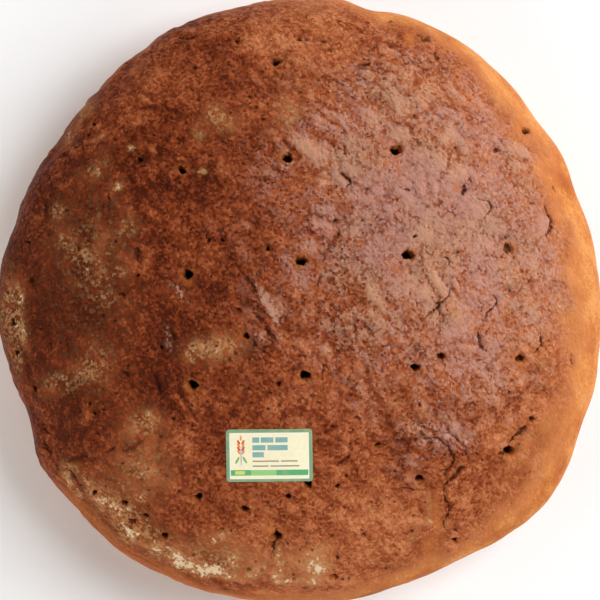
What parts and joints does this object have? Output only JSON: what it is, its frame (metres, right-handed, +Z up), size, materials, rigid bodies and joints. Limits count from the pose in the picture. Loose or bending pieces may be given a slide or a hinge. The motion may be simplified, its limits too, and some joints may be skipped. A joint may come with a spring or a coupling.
{
  "type": "rye bread loaf",
  "caption": "Large round hearth-baked rye loaf with a low domed, pricked and cracked brown crust, a flat floured foot and a small paper label.",
  "frame": {"origin": "centre of the loaf's outline, on the flat foot that it rests on", "axes": "+Z up through the dome, +X to the right and +Y away from the reader of the label"},
  "size_m": [0.3592, 0.3614, 0.0909],
  "materials": {
    "crust": "baked rye crust, matte with a faint sheen, dusted with flour",
    "label_paper": "smooth printed paper in cream with green edges"
  },
  "bodies": {
    "root": {"loaf": "crust", "label": "label_paper"}
  },
  "joints": []
}
